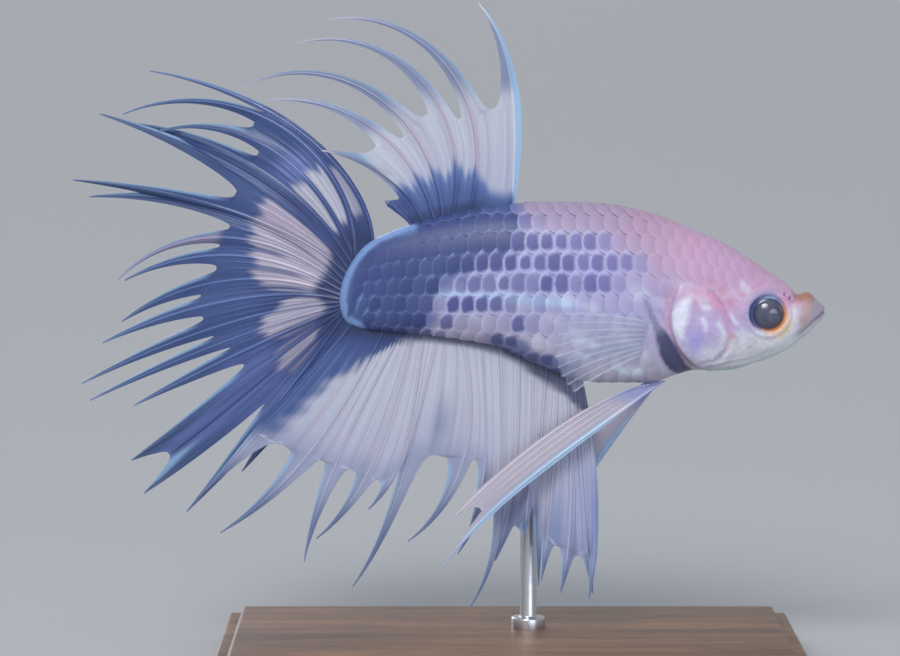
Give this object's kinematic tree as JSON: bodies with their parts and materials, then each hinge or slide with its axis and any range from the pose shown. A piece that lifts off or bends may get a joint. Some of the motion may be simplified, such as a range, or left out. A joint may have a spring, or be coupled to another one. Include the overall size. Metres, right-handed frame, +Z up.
{
  "type": "betta fish model",
  "caption": "Still, life-size model of a male crowntail betta fish with long spiked fins spread, held over a flat base by a short rod.",
  "frame": {"origin": "centre of the whole part's bounding box at the underside of the stand's base", "axes": "+X along the fish towards its mouth, +Y towards its left flank, +Z up"},
  "size_m": [0.0807, 0.038, 0.0709],
  "materials": {
    "skin": "satin scaled skin",
    "fin": "thin satin membrane over rays",
    "eye": "polished",
    "wood": "oiled",
    "metal": "satin"
  },
  "bodies": {
    "root": {"head": "skin", "lower_jaw": "skin", "gill_cover_left": "skin", "gill_cover_right": "skin", "trunk": "skin", "tail_stalk": "skin", "dorsal_fin": "fin", "caudal_fin": "fin", "anal_fin": "fin", "pelvic_fin_left": "fin", "pelvic_fin_right": "fin", "pectoral_fin_left": "fin", "pectoral_fin_right": "fin", "eye_left": "eye", "eye_right": "eye", "stand_base": "wood", "stand_rod": "metal"}
  },
  "joints": []
}
